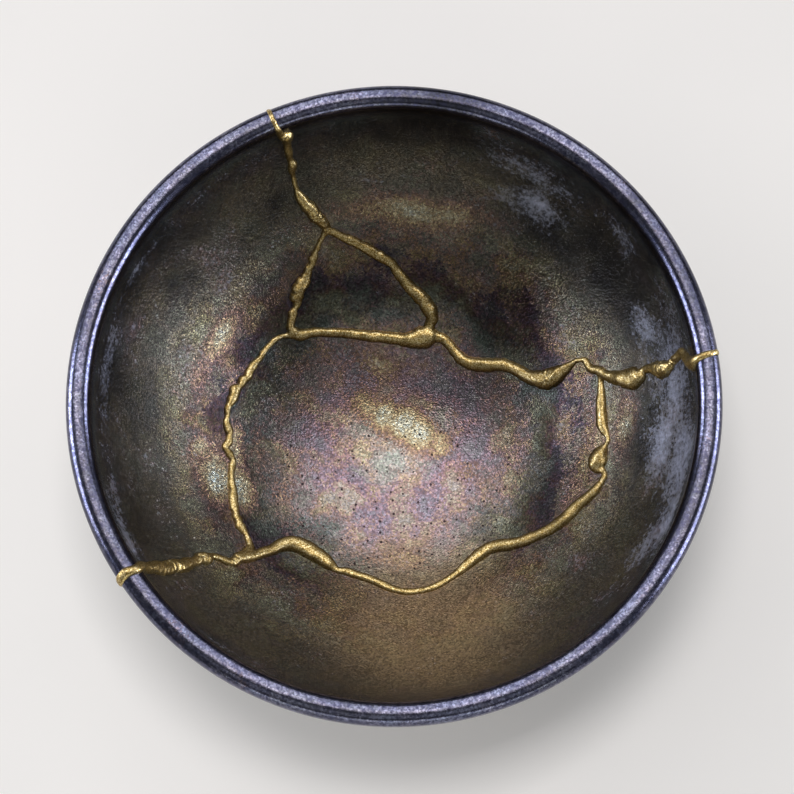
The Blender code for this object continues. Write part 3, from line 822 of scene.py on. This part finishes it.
def lustre_glaze():
    """Iron glaze fired to a metallic lustre: a satin sheen that changes colour with the film's
    thickness, over a dark body, with a fine orange-peel grain, matt blue-grey blooms up by the lip
    and a few pinholes on the floor."""
    material, tree, shader = new_material("lustre_iron_glaze")
    place = add(tree, "TexCoord").outputs["Object"]
    run = add(tree, "Attribute", attribute_name="glaze_run").outputs["Fac"]
    flat = add(tree, "VectorMath", {0: place, 1: (1.0, 1.0, 0.0)}, operation="MULTIPLY").outputs[0]
    # Crystals 0.4 mm across, each with a film and a glint of its own, and clouds 12 mm across.
    crystals = add(tree, "TexVoronoi", {"Vector": place, "Scale": 2400.0})
    crystal = add(tree, "SeparateColor", {"Color": crystals.outputs["Color"]})
    clouds = add(tree, "TexNoise", {"Vector": place, "Scale": 85.0, "Detail": 4.0,
                                    "Roughness": 0.55})
    cloud = clouds.outputs["Fac"]
    # The film's colour bands wander by 6 mm with the clouds and 2 mm from crystal to crystal, but
    # hardly at the lip, where the glaze breaks sharply over the edge.
    cloud_shift = add(tree, "MapRange", {"Value": cloud, "From Min": 0.3, "From Max": 0.7,
                                         "To Min": -6.0, "To Max": 6.0})
    shift = add(tree, "Math", {0: crystal.outputs["Red"], 1: 4.0, 2: cloud_shift},
                operation="MULTIPLY_ADD")
    centred = add(tree, "Math", {0: shift, 1: 2.0}, operation="SUBTRACT")
    calm = add(tree, "MapRange", {"Value": run, "From Min": 76.0, "From Max": 90.0,
                                  "To Min": 1.0, "To Max": 0.12}, interpolation_type="SMOOTHSTEP")
    thin = add(tree, "Attribute", attribute_name="thin_film").outputs["Fac"]
    thinned = add(tree, "Math", {0: thin, 1: -8.0, 2: run}, operation="MULTIPLY_ADD")
    moved = add(tree, "Math", {0: centred, 1: calm, 2: thinned}, operation="MULTIPLY_ADD")
    along = add(tree, "Math", {0: moved, 1: SKIN_LENGTH}, operation="DIVIDE")
    bands = add(tree, "ValToRGB", {"Fac": along},
                [(at / SKIN_LENGTH, colour) for at, colour in LUSTRE])
    # Rose, gold and blue crystals lie side by side in drifts 8 mm across, most of all on the floor
    # and in the gold band round it, and least in the dark ring between them.
    drifts = add(tree, "TexNoise", {"Vector": place, "Scale": 125.0, "Detail": 4.0,
                                    "Roughness": 0.55})
    mixed = add(tree, "Mix", {"Factor": 0.12, "A": drifts, "B": crystal.outputs["Green"]})
    hue = add(tree, "ValToRGB", {"Fac": mixed},
              [(0.36, "#556068"), (0.43, "#5b516c"), (0.49, "#80506a"), (0.54, "#935f46"),
               (0.6, "#9c8c5e"), (0.68, "#a59f92")])
    own = add(tree, "ValToRGB", {"Fac": along},
              [(0.14, "#b5b5b5"), (0.18, "#606060"), (0.22, "#686868"), (0.26, "#a0a0a0"),
               (0.33, "#595959")])
    film = add(tree, "Mix", {"Factor": own, "A": bands, "B": hue}, data_type="RGBA")
    # Where the film is thickest, and in the patches that are painted highlights and reflections
    # (the hot spot on the floor, the sheen bands on the walls), it goes from rust through gold to
    # silver, broken up by the clouds.
    film_and_sheen = add(tree, "Attribute", attribute_name="film_and_painted_sheen").outputs["Fac"]
    uneven = add(tree, "Math", {0: cloud, 1: 1.3, 2: film_and_sheen}, operation="MULTIPLY_ADD")
    grainy = add(tree, "Math", {0: crystal.outputs["Green"], 1: 0.3, 2: uneven},
                 operation="MULTIPLY_ADD")
    order = add(tree, "MapRange", {"Value": grainy, "From Min": 1.0, "From Max": 2.0})
    silvery = add(tree, "ValToRGB", {"Fac": order},
                  [(0.0, "#75606a"), (0.25, "#8a6e64"), (0.45, "#a69374"), (0.65, "#b7af94"),
                   (0.8, "#c6c9bd"), (1.0, "#aab9bd")])
    film_and_sheen_amount = add(tree, "MapRange", {"Value": order, "From Min": 0.0, "From Max": 0.3})
    lustrous = add(tree, "Mix", {"Factor": film_and_sheen_amount, "A": film.outputs[2],
                                 "B": silvery}, data_type="RGBA")
    # Painted glints: each crystal is brighter or duller than the next, as if it caught the light.
    # Dark clouds 25 mm across darken the upper wall, less on the front wall: painted shade mixed
    # with the glaze's own mottle.
    painted_glints = add(tree, "ValToRGB", {"Fac": crystal.outputs["Blue"]},
                  [(0.0, "#a0a0a0"), (0.5, "#d0d0d0"), (0.88, "#efefef"), (0.97, "#ffffff")])
    # Painted shade mixed with the glaze's mottle: darker clouds high on the wall, fewest on the
    # front wall.
    darkening_noise = add(tree, "TexNoise", {"Vector": place, "Scale": 42.0, "Detail": 6.0, "Roughness": 0.6})
    on_wall = add(tree, "MapRange", {"Value": run, "From Min": 52.0, "From Max": 66.0})
    darkening = add(tree, "MapRange", {"Value": darkening_noise, "From Min": 0.36, "From Max": 0.56,
                                    "To Min": 0.88, "To Max": 0.0})
    front = add(tree, "SeparateXYZ", {"Vector": place})
    clearer = add(tree, "MapRange", {"Value": front.outputs["Y"], "From Min": -0.045,
                                     "From Max": -0.01, "To Min": 0.3, "To Max": 1.0})
    behind = add(tree, "Math", {0: on_wall, 1: clearer}, operation="MULTIPLY")
    shade_and_mottle = add(tree, "Math", {0: darkening, 1: behind}, operation="MULTIPLY")
    # Painted glow: low on the front wall a warm brown is painted on for the light the wall gathers
    # there, in a patch 50 mm across, and the glaze there is duller.
    off_spot = add(tree, "VectorMath", {0: place, 1: (0.008, -0.051, 0.024)}, operation="DISTANCE")
    front_glow_patch = add(tree, "MapRange", {"Value": off_spot.outputs["Value"], "From Min": 0.01,
                                   "From Max": 0.036, "To Min": 0.56, "To Max": 0.0},
                interpolation_type="SMOOTHSTEP")
    with_front_glow = add(tree, "Mix", {"Factor": front_glow_patch, "A": lustrous.outputs[2],
                               "B": linear("#bb9c70")}, data_type="RGBA")
    glinting = add(tree, "Mix", {"Factor": 1.0, "A": with_front_glow.outputs[2], "B": painted_glints},
                   data_type="RGBA", blend_type="MULTIPLY")
    darkened = add(tree, "Mix", {"Factor": shade_and_mottle, "A": glinting.outputs[2],
                                 "B": linear("#202022")}, data_type="RGBA")
    # Matt blue-grey blooms, drawn out round the bowl in wisps 1.4 mm by 10 mm, with specks of 1 mm
    # and finer.
    around = add(tree, "VectorMath", {0: flat}, operation="NORMALIZE")
    short = add(tree, "VectorMath", {0: around, "Scale": 0.008}, operation="SCALE")
    up = add(tree, "Math", {0: run, 1: MM}, operation="MULTIPLY")
    height = add(tree, "CombineXYZ", {"Z": up})
    drawn_out = add(tree, "VectorMath", {0: short, 1: height}, operation="ADD")
    wisps = add(tree, "TexNoise", {"Vector": drawn_out, "Scale": 700.0, "Detail": 4.0})
    specks = add(tree, "TexNoise", {"Vector": place, "Scale": 900.0, "Detail": 5.0,
                                    "Roughness": 0.8})
    patch = add(tree, "Attribute", attribute_name="matt_bloom").outputs["Fac"]
    cloudy = add(tree, "Math", {0: cloud, 1: 1.4, 2: patch}, operation="MULTIPLY_ADD")
    wispy = add(tree, "Math", {0: wisps, 1: 0.55, 2: cloudy}, operation="MULTIPLY_ADD")
    speckled = add(tree, "Math", {0: specks, 1: 2.4, 2: wispy}, operation="MULTIPLY_ADD")
    bloom = add(tree, "MapRange", {"Value": speckled, "From Min": 2.5, "From Max": 3.95,
                                   "To Max": 0.95}).outputs[0]
    bloomed = add(tree, "Mix", {"Factor": bloom, "A": darkened.outputs[2], "B": linear("#b2b8ce")},
                  data_type="RGBA")
    # Pinholes 0.2 to 0.5 mm wide and 3 mm apart, on the front part of the floor alone.
    pores = add(tree, "TexVoronoi", {"Vector": flat, "Scale": 330.0}, voronoi_dimensions="2D")
    pore = add(tree, "SeparateColor", {"Color": pores.outputs["Color"]})
    width = add(tree, "MapRange", {"Value": pore.outputs["Red"], "To Min": 0.035, "To Max": 0.105})
    pit = add(tree, "MapRange", {"Value": pores.outputs["Distance"], "From Max": width,
                                 "To Min": 3.0, "To Max": 0.0})
    on_floor = add(tree, "MapRange", {"Value": run, "From Min": 30.0, "From Max": 38.0,
                                      "To Min": 1.0, "To Max": 0.0})
    towards_front = add(tree, "MapRange", {"Value": front.outputs["Y"], "From Min": 0.008,
                                           "From Max": 0.0, "To Min": 0.0, "To Max": on_floor})
    pits = add(tree, "Math", {0: pit, 1: towards_front}, operation="MULTIPLY", use_clamp=True)
    pitted = add(tree, "Mix", {"Factor": pits, "A": bloomed.outputs[2],
                               "B": linear("#2c2124")}, data_type="RGBA")
    # The lip is peppered with the same specks, dark here.
    past_wall = add(tree, "MapRange", {"Value": run, "From Min": 89.0, "From Max": 93.0})
    on_lip = add(tree, "MapRange", {"Value": run, "From Min": 104.0, "From Max": 110.0,
                                    "To Min": past_wall, "To Max": 0.0})
    pepper = add(tree, "MapRange", {"Value": specks, "From Min": 0.46, "From Max": 0.6,
                                    "To Min": 0.0, "To Max": on_lip})
    peppered = add(tree, "Mix", {"Factor": pepper, "A": pitted.outputs[2],
                                 "B": linear("#3e3f54")}, data_type="RGBA")
    tree.links.new(peppered.outputs[2], shader.inputs["Base Color"])
    # The lustre thins up the wall. It is weaker under the painted glow on the front wall, and the
    # blooms have hardly any.
    thinner = add(tree, "MapRange", {"Value": run, "From Min": 50.0, "From Max": 80.0,
                                     "To Min": 0.92, "To Max": 0.7})
    dulled = add(tree, "MapRange", {"Value": bloom, "To Min": 1.0, "To Max": 0.15})
    duller = add(tree, "Math", {0: front_glow_patch, 1: -0.6, 2: dulled}, operation="MULTIPLY_ADD")
    metal = add(tree, "Math", {0: thinner, 1: duller}, operation="MULTIPLY")
    mirrored = add(tree, "Mix", {"Factor": on_lip, "A": metal, "B": 1.0})
    tree.links.new(mirrored.outputs[0], shader.inputs["Metallic"])
    sheen = add(tree, "MapRange", {"Value": cloud, "From Min": 0.3, "From Max": 0.7,
                                   "To Min": 0.18, "To Max": 0.26})
    dull = add(tree, "Math", {0: bloom, 1: 0.3, 2: sheen}, operation="MULTIPLY_ADD")
    gloss = add(tree, "Mix", {"Factor": on_lip, "A": dull, "B": 0.22})
    tree.links.new(gloss.outputs[0], shader.inputs["Roughness"])
    # Orange peel: swellings 0.4 mm apart, deepest on the wall. On the lip they give way to throwing
    # lines 1.4 mm apart.
    peel = add(tree, "TexNoise", {"Vector": place, "Scale": 2500.0, "Detail": 2.0,
                                  "Distortion": 0.3})
    steep = add(tree, "MapRange", {"Value": run, "From Min": 42.0, "From Max": 56.0,
                                   "To Min": 1.25, "To Max": 2.4})
    flow = add(tree, "Mix", {"Factor": on_lip, "A": steep, "B": 0.25})
    swell = add(tree, "Math", {0: peel, 1: flow}, operation="MULTIPLY")
    lines = add(tree, "Math", {0: wisps, 1: on_lip}, operation="MULTIPLY")
    thrown = add(tree, "Math", {0: lines, 1: 0.5, 2: swell}, operation="MULTIPLY_ADD")
    deep = add(tree, "Math", {0: pits, 1: -1.4, 2: thrown}, operation="MULTIPLY_ADD")
    relief = add(tree, "Bump", {"Strength": 1.0, "Distance": 0.00008, "Height": deep})
    tree.links.new(relief.outputs["Normal"], shader.inputs["Normal"])
    return material


def bare_stoneware():
    """Unglazed stoneware, fired dark: dull and toothy where the foot was wiped and the wall broke,
    and toasted in clouds 7 mm across."""
    material, tree, shader = new_material("bare_stoneware")
    place = add(tree, "TexCoord").outputs["Object"]
    toast = add(tree, "TexNoise", {"Vector": place, "Scale": 140.0, "Detail": 5.0})
    colour = add(tree, "ValToRGB", {"Fac": toast},
                 [(0.3, "#4a3a30"), (0.5, "#6b5646"), (0.7, "#82705f")])
    tree.links.new(colour.outputs["Color"], shader.inputs["Base Color"])
    shader.inputs["Roughness"].default_value = 0.85
    # Sand grains half a millimetre across.
    sand = add(tree, "TexNoise", {"Vector": place, "Scale": 1800.0, "Detail": 3.0})
    relief = add(tree, "Bump", {"Strength": 0.7, "Distance": 0.0001, "Height": sand})
    tree.links.new(relief.outputs["Normal"], shader.inputs["Normal"])
    return material


def gilded_lacquer():
    """Gold powder burnished over lacquer: metallic and softly glossy, rubbed bright in spots 0.3 mm
    across and left dull brown between them."""
    material, tree, shader = new_material("gilded_lacquer")
    place = add(tree, "TexCoord").outputs["Object"]
    rubbed = add(tree, "TexNoise", {"Vector": place, "Scale": 3000.0, "Detail": 3.0,
                                    "Roughness": 0.75})
    colour = add(tree, "ValToRGB", {"Fac": rubbed},
                 [(0.36, "#5c4923"), (0.44, "#8a7240"), (0.52, "#b09860"), (0.62, "#dccda2")])
    tree.links.new(colour.outputs["Color"], shader.inputs["Base Color"])
    shader.inputs["Metallic"].default_value = 1.0
    polish = add(tree, "MapRange", {"Value": rubbed, "From Min": 0.38, "From Max": 0.64,
                                    "To Min": 0.5, "To Max": 0.28})
    tree.links.new(polish.outputs[0], shader.inputs["Roughness"])
    # Powder grains, drawn 0.3 mm across so that they show.
    powder = add(tree, "TexNoise", {"Vector": place, "Scale": 3200.0, "Detail": 2.0})
    relief = add(tree, "Bump", {"Strength": 0.8, "Distance": 0.00004, "Height": powder})
    tree.links.new(relief.outputs["Normal"], shader.inputs["Normal"])
    return material


def matt_card():
    """White backdrop card: matt, with a faint mottle 110 mm across, and a little painted glow of
    its own that lightens the shadows on it."""
    material, tree, shader = new_material("matt_card")
    place = add(tree, "TexCoord").outputs["Object"]
    mottle = add(tree, "TexNoise", {"Vector": place, "Scale": 9.0, "Detail": 3.0})
    colour = add(tree, "ValToRGB", {"Fac": mottle}, [(0.3, "#e9e8e7"), (0.7, "#f0eeed")])
    tree.links.new(colour.outputs["Color"], shader.inputs["Base Color"])
    shader.inputs["Roughness"].default_value = 0.9
    # Painted glow, no lamp: it lightens the card and the bowl's shadow on it.
    shader.inputs["Emission Color"].default_value = linear("#fbfafa")
    shader.inputs["Emission Strength"].default_value = 0.2
    return material


# The table, the light and the camera.

# A hair under the foot, in metres, so that the two never flicker through each other.
TABLE_TOP = -0.00005
CAMERA_ELEVATION = 77.1
CAMERA_DISTANCE = 0.6


def table(card):
    corners = [(-3, -3, TABLE_TOP), (3, -3, TABLE_TOP), (3, 3, TABLE_TOP), (-3, 3, TABLE_TOP)]
    floor = piece_from("table_card", corners, [(0, 1, 2, 3)])
    floor.data.materials.append(card)
    return floor


def softbox(name, zenith, azimuth, distance, width, height, radiance, colour, roll=0, lit=None):
    """A soft light that faces the bowl, of this radiance. Its place and roll are given by angles in
    degrees, its distance and sides in metres. It lights everything, or only these pieces."""
    lamp = bpy.data.lights.new(name, "AREA")
    lamp.shape = "RECTANGLE"
    lamp.size = width
    lamp.size_y = height
    lamp.energy = radiance * math.pi * width * height
    lamp.color = linear(colour)[:3]
    made = bpy.data.objects.new(name, lamp)
    bpy.context.scene.collection.objects.link(made)
    turn, tilt = math.radians(azimuth), math.radians(zenith)
    out = math.sin(tilt)
    towards = Vector((out * math.cos(turn), out * math.sin(turn), math.cos(tilt)))
    made.location = towards * distance
    facing = towards.to_track_quat("Z", "Y") @ Quaternion((0.0, 0.0, 1.0), math.radians(roll))
    made.rotation_euler = facing.to_euler()
    if lit:
        only = bpy.data.collections.new(name + "_lights")
        for piece in lit:
            only.objects.link(piece)
        made.light_linking.receiver_collection = only


def studio(bowl, floor):
    """Windows behind, beside and in front of the bowl, a lamp overhead and a pale wall in front. A
    key and a fill of the table's own keep it pale, and leave the glaze dark."""
    world = bpy.data.worlds.new("studio")
    world.use_nodes = True
    background = world.node_tree.nodes["Background"]
    background.inputs["Color"].default_value = linear("#eceef2")
    background.inputs["Strength"].default_value = 0.16
    bpy.context.scene.world = world
    softbox("back_window", 38, 90, 1.6, 2.6, 1.4, 2.3, "#fcfcff", lit=bowl)
    softbox("ceiling_lamp", 9, 98, 1.5, 1.3, 0.38, 3.3, "#fff6ea", -20, lit=bowl)
    softbox("right_window", 74, -2, 1.6, 1.15, 0.8, 10.5, "#ecf1ff", lit=bowl)
    softbox("left_window", 73, 176, 1.6, 0.9, 0.8, 10.5, "#ecf1ff", lit=bowl)
    softbox("front_wall", 76, 270, 1.8, 2.4, 0.6, 1.9, "#fafdf4")
    softbox("front_window", 32, 270, 1.6, 1.6, 0.8, 0.42, "#f4f6f0", lit=bowl)
    softbox("table_key", 5, 110, 1.5, 0.46, 0.34, 18.0, "#fffcfa", lit=[floor])
    softbox("table_fill", 38, 142, 0.9, 1.2, 1.2, 0.72, "#fdfbfa", lit=[floor])


def camera():
    """Looks down into the bowl from the front, aimed a hair off the rim's centre."""
    elevation = math.radians(CAMERA_ELEVATION)
    forward = Vector((0.0, math.cos(elevation), -math.sin(elevation)))
    upward = Vector((0.0, math.sin(elevation), math.cos(elevation)))
    lens = bpy.data.cameras.new("camera")
    lens.sensor_width = 36.0
    lens.lens = 123.2
    made = bpy.data.objects.new("camera", lens)
    bpy.context.scene.collection.objects.link(made)
    rim_centre = Vector((0.0, 0.0, MOUTH_HEIGHT * MM))
    made.location = rim_centre - forward * CAMERA_DISTANCE
    target = rim_centre + Vector((0.00062, 0.0, 0.0)) + upward * 0.00026
    made.rotation_euler = (target - made.location).to_track_quat("-Z", "Y").to_euler()
    bpy.context.scene.camera = made


def main():
    bpy.context.scene.view_settings.view_transform = "Standard"
    glaze, clay, gold = lustre_glaze(), bare_stoneware(), gilded_lacquer()
    shards = broken_shards(glaze, clay)
    for name, shard in shards:
        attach(shard, "root")
        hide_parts(name)
    lacquer = laid_lacquer(gold)
    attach(lacquer, "root")
    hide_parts("gold_seams")
    studio([lacquer, *[shard for _, shard in shards]], table(matt_card()))
    camera()


main()
